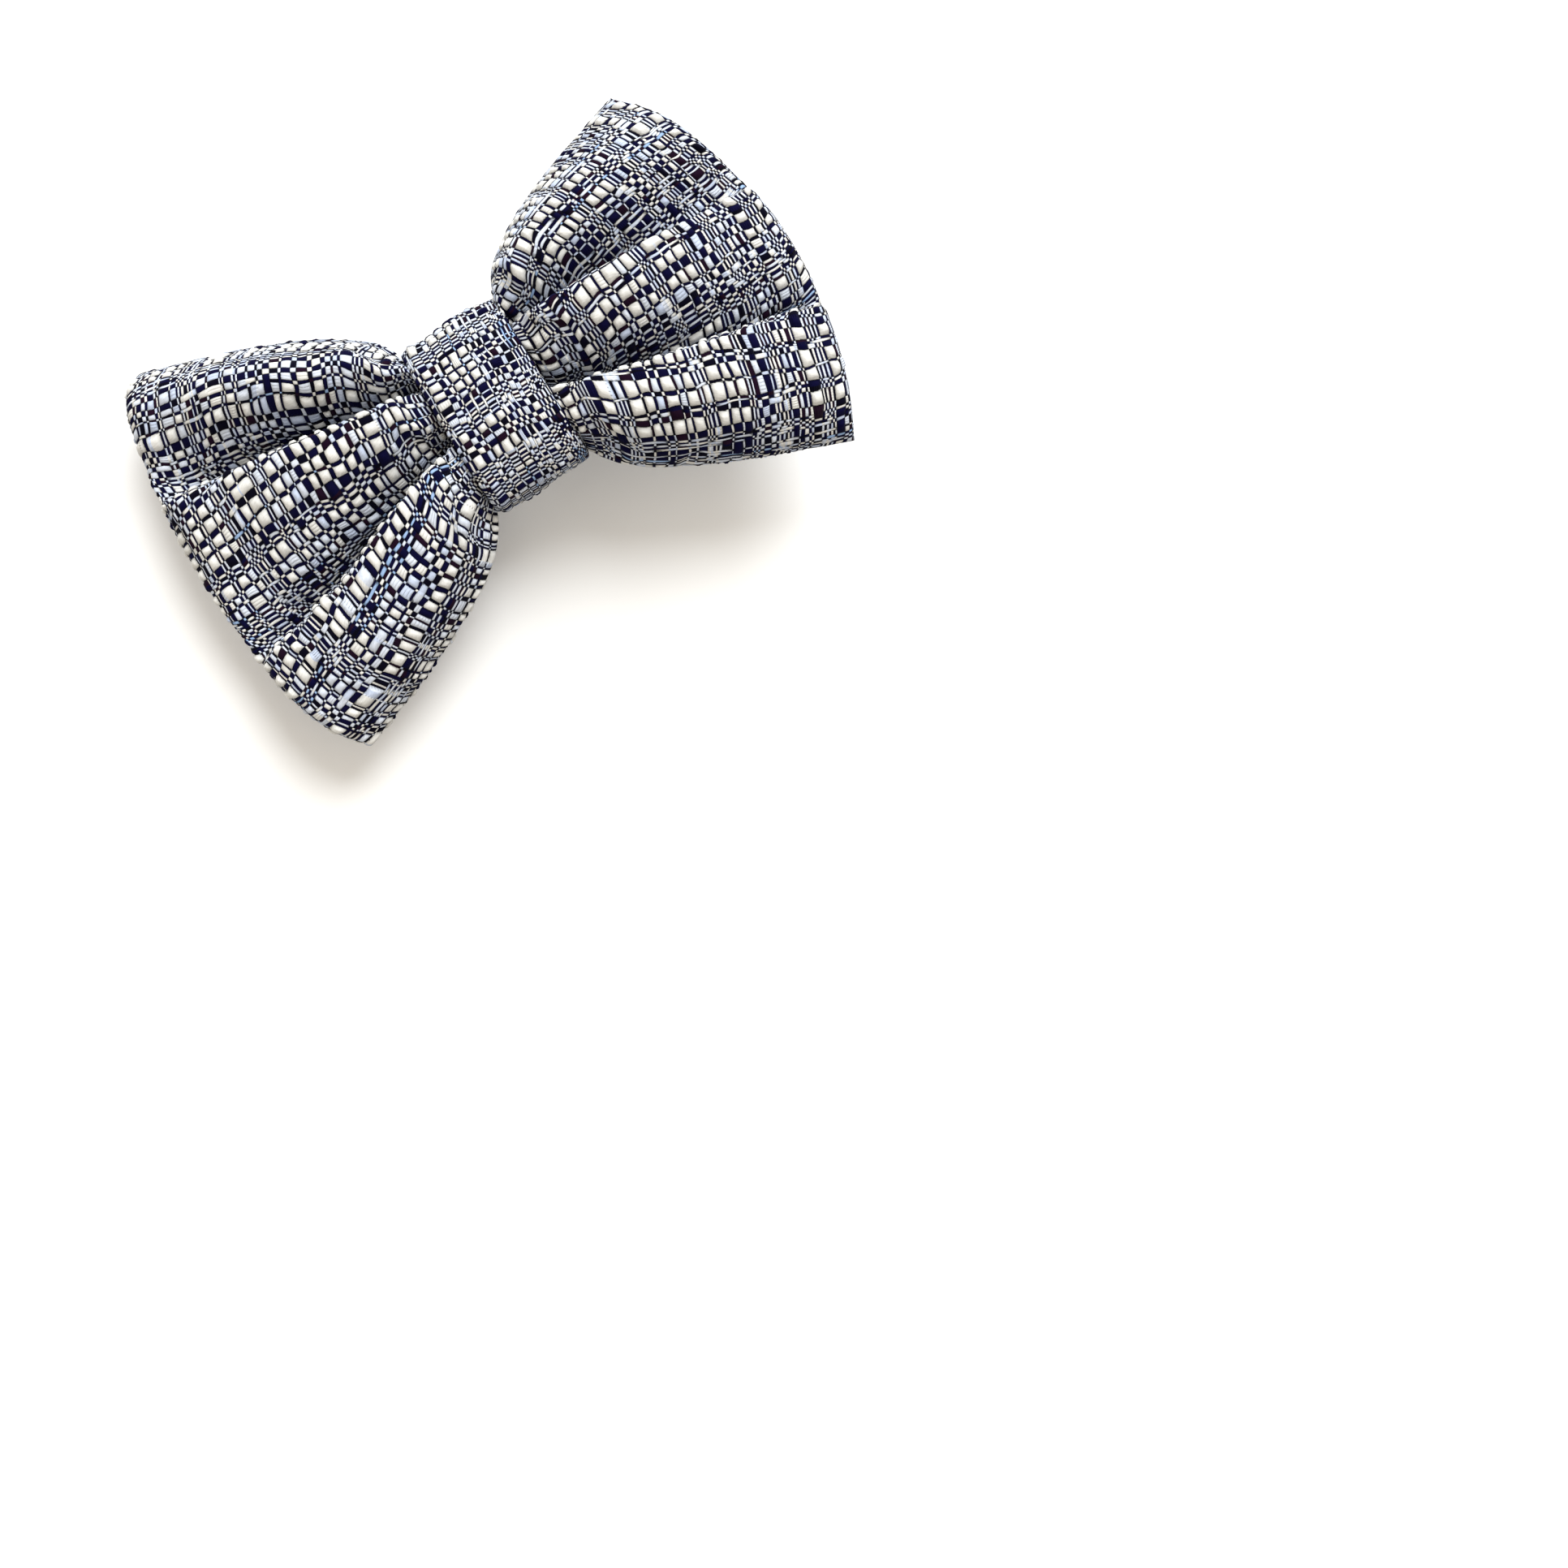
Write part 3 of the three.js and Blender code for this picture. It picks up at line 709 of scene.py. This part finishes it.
def even_columns(grid, count):
    """The same surface with its columns evenly spaced across each row, as a cloth's yarns are."""
    steps = np.linalg.norm(np.diff(grid, axis=1), axis=-1)
    travelled = np.hstack([np.zeros((len(grid), 1)), np.cumsum(steps, axis=1)])
    spread = np.empty((len(grid), count, 3))
    for row in range(len(grid)):
        even = np.linspace(0, travelled[row, -1], count)
        for axis in range(3):
            spread[row, :, axis] = np.interp(even, travelled[row], grid[row, :, axis])
    return spread


def make_wing(side_name):
    wing = WINGS[side_name]
    grid, length = wing_grid(wing)
    grid = inflate(side_name, grid, wing["side"], pressure=1.3, frames=24, limit=1.3)
    surface = sampler(even_columns(grid, 2 * ACROSS + 1), length)
    half_width = (-CLOTH_HALF_WIDTH, CLOTH_HALF_WIDTH)
    cloth = weave(side_name + "_wing_cloth", surface, (0, length), half_width, wing["seed"], wing["side"])
    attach(cloth, "bow")
    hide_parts(side_name + "_front_panel", side_name + "_back_panel")
    make_wadding(side_name, grid)


def make_wadding(side_name, grid):
    """Wadding between the wing's two faces, well inside the cloth, in three rolls: the pleats' steep
    edges leave no room for it."""
    fill, taper, gap_painted_shade = 0.6, 0.16, 0.08
    middle = (grid + grid[::-1]) / 2
    q = np.linspace(-1, 1, grid.shape[1])
    from_edge = np.minimum(np.abs(q - 1 / 3 + 0.03), np.abs(q + 1 / 3 + 0.03))
    full = fill * (1 - np.exp(-((from_edge / taper) ** 2)))
    inside = middle + full[None, :, None] * (grid - middle)
    # It also ends short of the outer fold, the knot and the two long edges.
    x = inside[..., 0]
    inside[..., 0] = x - np.sign(x) * 0.06 * np.maximum(np.abs(x) - 22, 0)
    inside, from_edge = inside[2:-2, 5:-5], from_edge[5:-5]
    faces = grid_faces(*inside.shape[:2])
    faces = faces[np.all(from_edge[faces % inside.shape[1]] > gap_painted_shade, axis=1)]
    keep, compact = np.unique(faces, return_inverse=True)
    points = inside.reshape(-1, 3)[keep] * MM
    filling = mesh_object(side_name + "_wing_wadding", points, compact.reshape(faces.shape), WADDING)
    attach(filling, "bow")
    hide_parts(side_name + "_wadding")


# ---------------------------------------------------------------- the knot


def make_knot():
    """The band, folded in at its edges and wound once round and on behind, as a lap over its start."""
    bend = 2 / OVAL_POWER
    start, wound = -4, 397  # degrees
    angle = np.linspace(np.radians(start), np.radians(start - wound), 2400)
    y = KNOT_HALF_DEPTH * np.sign(np.cos(angle)) * np.abs(np.cos(angle)) ** bend
    z = KNOT_HALF_HEIGHT * np.sign(np.sin(angle)) * np.abs(np.sin(angle)) ** bend
    lapped = (y > 0) & (angle < np.radians(-180))
    rise = np.where(lapped, np.clip((FLAP_HIGH + FLAP_RISE - z) / FLAP_RISE, 0, 1), 0.0)
    rise = rise * rise * (3 - 2 * rise)
    end = np.argmax(lapped & (z < FLAP_LOW)) + 1
    y, z, rise = y[:end], z[:end], rise[:end]
    travelled = np.concatenate([[0], np.cumsum(np.hypot(np.diff(y), np.diff(z)))])
    length = travelled[-1]
    tangent = np.stack([np.gradient(y, travelled), np.gradient(z, travelled)])
    tangent /= np.linalg.norm(tangent, axis=0)
    fold = 1.0  # radius of the folded edges
    turned_in = 2.0
    reach = KNOT_HALF_LENGTH - fold
    half_width = reach + fold * np.pi + turned_in
    tucked = 0.9  # the last bit of the lap curls in

    def surface(u, v):
        along = [np.interp(u, travelled, a) for a in (y, z, tangent[0], tangent[1], rise)]
        path_y, path_z, ty, tz, up = along
        norm = np.hypot(ty, tz)
        # Going down behind, the outward normal is the tangent turned a quarter.
        out_y, out_z = -tz / norm, ty / norm
        flat = np.minimum(np.abs(v), reach)
        beyond = np.abs(v) - flat
        turn = np.clip(beyond / fold, 0, np.pi)
        under = np.clip(beyond - fold * np.pi, 0, None)
        x = np.sign(v) * (flat + fold * np.sin(turn) - under)
        crown = 0.45 * (1 - (flat / reach) ** 2) - 0.35
        ridge = 0.35 * np.exp(-(((v + reach - 0.6) / 0.9) ** 2))
        drop = -fold * (1 - np.cos(turn)) * (BAND + 0.3) / (2 * fold)
        crease = 0.3 * np.sin(u / 4.6 + v / 3.7) + 0.14 * np.sin(u / 2.9 - v / 2.3 + 1.0)
        full = 0.9 * (np.abs(path_z) / KNOT_HALF_HEIGHT) ** 6
        tuck = np.clip((u - (length - tucked)) / tucked, 0, 1)
        offset = crown + ridge + drop + crease * np.cos(np.clip(v / reach, -1, 1) * np.pi / 2)
        offset = offset + full + up * FLAP - tucked * (1 - np.sqrt(np.clip(1 - tuck**2, 0, 1)))
        return np.stack([x, MIDDLE_Y + path_y + out_y * offset, path_z + out_z * offset], axis=-1)

    band = weave("knot_band_cloth", surface, (0, length), (-half_width, half_width), seed=5, flip=-1)
    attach(band, "bow")
    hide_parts("knot_band")


# ---------------------------------------------------------------- threads, springs and metal


def smooth_path(points, count):
    """count points evenly along a smooth curve through the given ones, and its length."""
    points = np.array(points, dtype=float)
    padded = np.vstack([2 * points[0] - points[1], points, 2 * points[-1] - points[-2]])
    out = []
    for k in range(1, len(padded) - 2):
        a, b, c, d = padded[k - 1 : k + 3]
        squared, cubed = 2 * a - 5 * b + 4 * c - d, 3 * b - a - 3 * c + d
        for t in np.linspace(0, 1, 24, endpoint=False):
            out.append(0.5 * (2 * b + (c - a) * t + squared * t**2 + cubed * t**3))
    out.append(points[-1])
    out = np.array(out)
    travelled = np.concatenate([[0], np.cumsum(np.linalg.norm(np.diff(out, axis=0), axis=1))])
    even = np.linspace(0, travelled[-1], count)
    return np.stack([np.interp(even, travelled, out[:, k]) for k in range(3)], axis=1), travelled[-1]


def tube_curve(name, paths, diameter, material, body):
    """One curve object with a round wire along each path."""
    curve = bpy.data.curves.new(name, "CURVE")
    curve.dimensions = "3D"
    curve.bevel_depth = diameter / 2 * MM
    curve.bevel_resolution = 3
    curve.use_fill_caps = True
    for path in paths:
        spline = curve.splines.new("POLY")
        spline.points.add(len(path) - 1)
        flat = np.hstack([np.asarray(path) * MM, np.ones((len(path), 1))])
        spline.points.foreach_set("co", flat.ravel())
        spline.use_smooth = True
    curve.materials.append(material)
    obj = bpy.data.objects.new(name, curve)
    bpy.context.scene.collection.objects.link(obj)
    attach(obj, body)
    return obj


THREAD_WIDTH = 0.5


def plied_thread(node, points):
    """A stitch in place of the node: three plies twisted together, along a smooth curve."""
    _, length = smooth_path(points, 2)
    count = max(24, int(length / 0.09))
    path, _ = smooth_path(points, count)
    tangent = np.gradient(path, axis=0)
    tangent /= np.linalg.norm(tangent, axis=1, keepdims=True)
    side = np.cross(tangent, [0.31, 0.2, 0.93])
    side /= np.linalg.norm(side, axis=1, keepdims=True)
    other = np.cross(tangent, side)
    pitch = THREAD_WIDTH * 3.2
    off = 0.27 * THREAD_WIDTH
    plies = []
    for ply in range(3):
        turn = 2 * np.pi * (np.linspace(0, length, count) / pitch + ply / 3)
        plies.append(path + off * (side * np.cos(turn)[:, None] + other * np.sin(turn)[:, None]))
    stitch = tube_curve(node + "_thread", plies, THREAD_WIDTH * 0.52, THREAD, "bow")
    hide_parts(node)


def oval_back(z, extra=0.0):
    """How far behind the middle plane the band's outside lies at height z."""
    share = abs(z) / (KNOT_HALF_HEIGHT + extra)
    return MIDDLE_Y + (KNOT_HALF_DEPTH + extra) * (1 - share**OVAL_POWER) ** (1 / OVAL_POWER)


def make_stitches():
    """The slip stitches over the lap's end."""
    for number, x in enumerate((-7, -3.5, 0, 3.5, 7), start=1):
        low, high = FLAP_LOW - 1.6, FLAP_LOW + 1.6
        points = (
            (x - 0.55, oval_back(low) - 0.5, low),
            (x - 0.45, oval_back(low) + 0.35, low + 0.15),
            (x, oval_back(FLAP_LOW, FLAP) + 0.75, FLAP_LOW - 0.3),
            (x + 0.45, oval_back(high, FLAP) + 0.45, high - 0.15),
            (x + 0.55, oval_back(high, FLAP) - 0.5, high),
        )
        plied_thread(f"band_stitch_{number}", points)


PLATE = 0.8  # the clip's base plate
PLATE_BACK = box_mm("clip_base")[0][1] + PLATE


def make_clip_stitches():
    for number in range(1, 5):
        node = f"clip_stitch_{number}"
        low, high = box_mm(node)
        z = (low[2] + high[2]) / 2
        sewn = (high[0] - low[0]) / 2 - THREAD_WIDTH / 2
        points = (
            (-sewn, PLATE_BACK - 1.0, z),
            (-sewn, PLATE_BACK - 0.1, z),
            (-sewn * 0.45, PLATE_BACK + 0.4, z + 0.1),
            (sewn * 0.45, PLATE_BACK + 0.4, z - 0.1),
            (sewn, PLATE_BACK - 0.1, z),
            (sewn, PLATE_BACK - 1.0, z),
        )
        plied_thread(node, points)


def make_spring(side_name, side):
    """The coil and its leg on the base stay still, and the other leg goes with the jaw."""
    pin_low, pin_high = box_mm(side_name + "_hinge_pin")
    pin = (pin_low + pin_high) / 2
    low, high = box_mm(side_name + "_spring")
    wire, radius, half = 0.5, 1.5, 1.1
    leg_x = 5.0

    def coil(start, end, z_start, z_end, count):
        turn = np.linspace(start, end, count)
        x = side * (abs(pin[0]) + radius * np.cos(turn))
        return np.stack([x, pin[1] + radius * np.sin(turn), np.linspace(z_start, z_end, count)], axis=1)

    start, end = -np.pi / 2, 4.5 * np.pi
    wound = coil(start, end, -half, half, 150)
    base_leg = np.linspace((side * leg_x, low[1] + wire / 2, -half), wound[0], 12)
    base_wire = [np.vstack([base_leg[:-1], wound])]
    still = tube_curve(side_name + "_spring_coil", base_wire, wire, NICKEL, "bow")
    overlap = coil(end - np.radians(50), end, half + 0.02, half + 0.02, 24)
    jaw_leg = np.linspace(overlap[-1], (side * leg_x, high[1] - wire / 2, half), 12)
    jaw_wire = [np.vstack([overlap, jaw_leg[1:]])]
    tube_curve(side_name + "_spring_leg", jaw_wire, wire * 0.98, NICKEL, side_name + "_jaw")
    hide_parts(side_name + "_spring")


def dress(obj, material):
    obj.data.materials.clear()
    obj.data.materials.append(material)


def finish_metal(obj, edge=0.12):
    """Rounds a stamped part's edges a little and plates it."""
    dress(obj, NICKEL)
    weld = obj.modifiers.new("weld", "WELD")
    weld.merge_threshold = 0.002 * MM
    bevel = obj.modifiers.new("bevel", "BEVEL")
    bevel.width = edge * MM
    bevel.segments = 2
    bevel.limit_method = "ANGLE"
    bevel.angle_limit = math.radians(35)
    for face in obj.data.polygons:
        face.use_smooth = True
    normals = obj.modifiers.new("normals", "WEIGHTED_NORMAL")
    normals.keep_sharp = False
    normals.weight = 80


SHEET = 0.6  # the jaw's steel
SHOULDER = 1.1  # radius of the rounded edges along the jaw
NOSE_BEND = 2.6  # radius of the bend down to the teeth
TEETH = 5
TOOTH = 0.9  # how deep they are cut
RIB = 0.4  # how high the pressed rib stands
GRIP = 0.16  # and the finger ridges
EYE = 1.22  # radius of the eye round the pin, to the middle of its metal


def smooth_step(low, high, value):
    t = np.clip((value - low) / (high - low), 0, 1)
    return t * t * (3 - 2 * t)


def make_jaw(side_name, side):
    """A stamped jaw: a channel with rounded shoulders, a pressed rib, an eye on each side for the pin,
    and a toothed nose bent down to the plate."""
    node = side_name + "_jaw"
    low, high = box_mm(node)
    near, tip = sorted((abs(low[0]), abs(high[0])))
    pin_low, pin_high = box_mm(side_name + "_hinge_pin")
    pin_x = abs(pin_low[0] + pin_high[0]) / 2
    pin_y = (pin_low[1] + pin_high[1]) / 2
    back, tip, half = high[1] - SHEET / 2, tip - SHEET / 2, high[2] - SHEET / 2
    flat_end = tip - NOSE_BEND
    # Close steps round the pin, for the walls' eyes
    steps = np.array([0.5, 0.85, 1.1, 1.25, 1.7, 2.2])
    around = pin_x + np.concatenate([-steps[::-1], [0], steps])
    flat_x = [np.linspace(near, around[0], 9), around, np.linspace(around[-1], flat_end, 26)]
    flat_x = np.unique(np.concatenate(flat_x))
    turn = np.linspace(0, np.pi / 2, 8)[1:]
    down = np.linspace(0, 1, 7)[1:]
    # Along the jaw: where the sheet's middle lies, the way it faces, and the share of its last leg
    nose_y = back - NOSE_BEND
    x = np.concatenate([flat_x, flat_end + NOSE_BEND * np.sin(turn), np.full(len(down), tip)])
    y = [np.full(len(flat_x), back), nose_y + NOSE_BEND * np.cos(turn), np.full(len(down), nose_y)]
    y = np.concatenate(y)
    facing = np.concatenate([np.zeros(len(flat_x)), turn, np.full(len(down), np.pi / 2)])
    last = np.concatenate([np.zeros(len(flat_x) + len(turn)), down])
    # How deep the side walls are, from the back's middle
    depth = np.interp(x, pin_x + np.array([-6, -3, -1.7, 1.7, 4, 12]), [1.15, 1.3, 2.6, 2.6, 1.5, 1.15])
    beside = np.abs(x - pin_x) < EYE
    over_pin = back - pin_y - np.sqrt(np.clip(EYE**2 - (x - pin_x) ** 2, 0, None))
    depth = np.where(beside, over_pin, depth)
    depth = np.maximum(depth, SHOULDER) * (1 - 0.6 * last)
    width = half * (1 - 0.14 * smooth_step(12, 25, x) - 0.2 * (1 - smooth_step(near - 1.5, near + 2.5, x)))
    # Across it: a flat back, a rounded shoulder on each side and a wall below it
    bend = np.linspace(0, np.pi / 2, 6)[1:]
    flat = np.linspace(-1, 1, 8 * TEETH + 1)
    wall = np.linspace(0, 1, 4)[1:]
    side_z = np.concatenate([SHOULDER * np.sin(bend), np.full(len(wall), SHOULDER)])
    side_drop = np.concatenate([SHOULDER * (1 - np.cos(bend)), np.full(len(wall), SHOULDER)])
    side_wall = np.concatenate([np.zeros(len(bend)), wall])
    zeros, ones = np.zeros(len(flat)), np.ones(len(side_z))
    over = np.concatenate([-ones, flat, ones])[None, :]
    z = np.concatenate([-side_z[::-1], zeros, side_z])[None, :] + over * (width - SHOULDER)[:, None]
    drop = np.concatenate([side_drop[::-1], zeros, side_drop])[None, :]
    share = np.concatenate([side_wall[::-1], zeros, side_wall])[None, :]
    drop = drop + share * (depth - SHOULDER)[:, None]
    ribbed = smooth_step(13, 14.5, x) * (1 - smooth_step(20.5, 22, x))
    gripped = smooth_step(near, near + 0.4, x) * (1 - smooth_step(near + 3.2, near + 3.8, x))
    drop = drop - RIB * np.exp(-((z / 1.05) ** 4)) * ribbed[:, None]
    ridges = GRIP * np.sin(2 * np.pi * x / 1.1) * gripped
    drop = drop - ridges[:, None] * (np.abs(z) < 0.8 * (width - SHOULDER)[:, None])
    tooth = np.abs((z / half * TEETH + TEETH) / 2 % 1 - 0.5) * 2
    reach = nose_y - low[1] - TOOTH * (1 - tooth)
    points = np.stack([
        side * (x[:, None] - drop * np.sin(facing)[:, None]),
        y[:, None] - drop * np.cos(facing)[:, None] - last[:, None] * reach,
        z,
    ], axis=-1)
    faces = grid_faces(*points.shape[:2])
    if side > 0:
        faces = faces[:, ::-1]
    jaw = mesh_object(node + "_stamping", points.reshape(-1, 3) * MM, faces)
    solid = jaw.modifiers.new("sheet", "SOLIDIFY")
    solid.thickness = SHEET * MM
    solid.offset = 0
    finish_metal(jaw, 0.1)
    circle = np.linspace(0, 2 * np.pi, 41)
    ring_x, ring_y = side * (pin_x + EYE * np.cos(circle)), pin_y + EYE * np.sin(circle)
    ring_z = np.full(len(circle), np.interp(pin_x, x, width))
    rings = [np.stack([ring_x, ring_y, edge * ring_z], axis=1) for edge in (-1, 1)]
    tube_curve(node + "_eyes", rings, SHEET, NICKEL, node)
    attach(jaw, node)
    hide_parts(node)


# ---------------------------------------------------------------- the stage


def make_stage():
    """A white table top behind the bow, seen from its front only, so that the back can be seen too."""
    left_jaw_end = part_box("left_jaw")[0][0]
    rocked = 0.11  # the bow rocks on its clip, so its left wing lies nearer to the table
    clear = 0.4 * MM
    half = 0.9

    def corner(x, z):
        return x, cad_bounds[1][1] + clear + rocked * (x - left_jaw_end), z

    corners = [corner(-half, -half), corner(half, -half), corner(half, half), corner(-half, half)]
    top = mesh_object("table_top", corners, np.array([[0, 1, 2, 3]]), smooth=False)
    n = Material("table_top")
    grain = n.noise(n.position(), 14.0, 3.0, 0.5)
    n.set(Base_Color=n.mix(grain, (0.93, 0.93, 0.925), (0.96, 0.96, 0.955)), Roughness=0.6)
    see_through = n.tree.nodes.new("ShaderNodeBsdfTransparent")
    choose = n.tree.nodes.new("ShaderNodeMixShader")
    n.feed(choose.inputs[0], n.geometry("Backfacing"))
    n.feed(choose.inputs[1], n.shader.outputs[0])
    n.feed(choose.inputs[2], see_through.outputs[0])
    n.feed(n.tree.nodes["Material Output"].inputs["Surface"], choose.outputs[0])
    top.data.materials.append(n.material)
    top.visible_shadow = False
    top.visible_diffuse = False
    top.visible_glossy = False
    top.visible_transmission = False


# The picture's own right and up, in the bow's frame
RIGHT = Vector((0.853, 0, -0.522)).normalized()
UP = Vector((0.522, 0, 0.853)).normalized()


def sun(name, toward, strength, angle, colour):
    light = bpy.data.lights.new(name, "SUN")
    light.energy = strength
    light.angle = math.radians(angle)
    light.color = colour
    obj = bpy.data.objects.new(name, light)
    obj.rotation_euler = Vector(toward).to_track_quat("Z", "Y").to_euler()
    bpy.context.scene.collection.objects.link(obj)


def make_lights():
    camera_side = Vector((0, -1, 0))
    sun("key", UP * 0.8 + RIGHT * 0.3 + camera_side * 0.85, 2.95, 38, (0.93, 0.965, 1))
    sun("window", UP + camera_side * 0.25, 1.25, 50, (0.94, 0.975, 1))
    sun("behind", Vector((-0.3, 0.9, 0.5)), 1.6, 40, (1, 1, 1))
    world = bpy.data.worlds.new("studio")
    bpy.context.scene.world = world
    n = Nodes(world)
    _, backwards, upwards = n.separate(n.tree.nodes.new("ShaderNodeTexCoord").outputs["Generated"])
    behind = n.remap(backwards, -0.2, 0.4, kind="SMOOTHSTEP")
    above = n.remap(upwards, -0.35, 0.55, kind="SMOOTHSTEP")
    # Warm in front, paler behind, and darker low down behind for the metal to reflect
    rear = n.mix(above, (0.34, 0.345, 0.36), (1.1, 1.1, 1.1))
    background = n.tree.nodes["Background"]
    n.feed(background.inputs["Color"], n.mix(behind, (1.0, 0.925, 0.82), rear))
    background.inputs["Strength"].default_value = 0.78


def make_camera():
    """Straight down on the table, with the bow turned as in the photograph and up and left of the middle."""
    camera = bpy.data.cameras.new("camera")
    camera.lens = 50
    camera.sensor_width = 36
    camera.clip_start = 0.01
    seen = 0.275  # how wide a piece of the table the picture shows
    aim = Vector((0.0084, MIDDLE_Y * MM, -0.0829))
    look = Vector((0, 1, 0))
    obj = bpy.data.objects.new("camera", camera)
    obj.matrix_world = Matrix((RIGHT, UP, -look)).transposed().to_4x4()
    obj.location = aim - look * seen * camera.lens / camera.sensor_width
    bpy.context.scene.collection.objects.link(obj)
    bpy.context.scene.camera = obj


make_camera()
for name, wing in WINGS.items():
    make_wing(name)
    make_spring(name, wing["side"])
    make_jaw(name, wing["side"])
    finish_metal(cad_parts[name + "_hinge_pin"])
finish_metal(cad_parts["clip_base"])
make_knot()
make_stitches()
make_clip_stitches()
dress(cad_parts["knot_lining"], LINING_AS_SHADE)
dress(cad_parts["waist_binding"], THREAD)
make_stage()
make_lights()
settings = bpy.context.scene.view_settings
settings.view_transform = "Standard"
settings.look = "None"
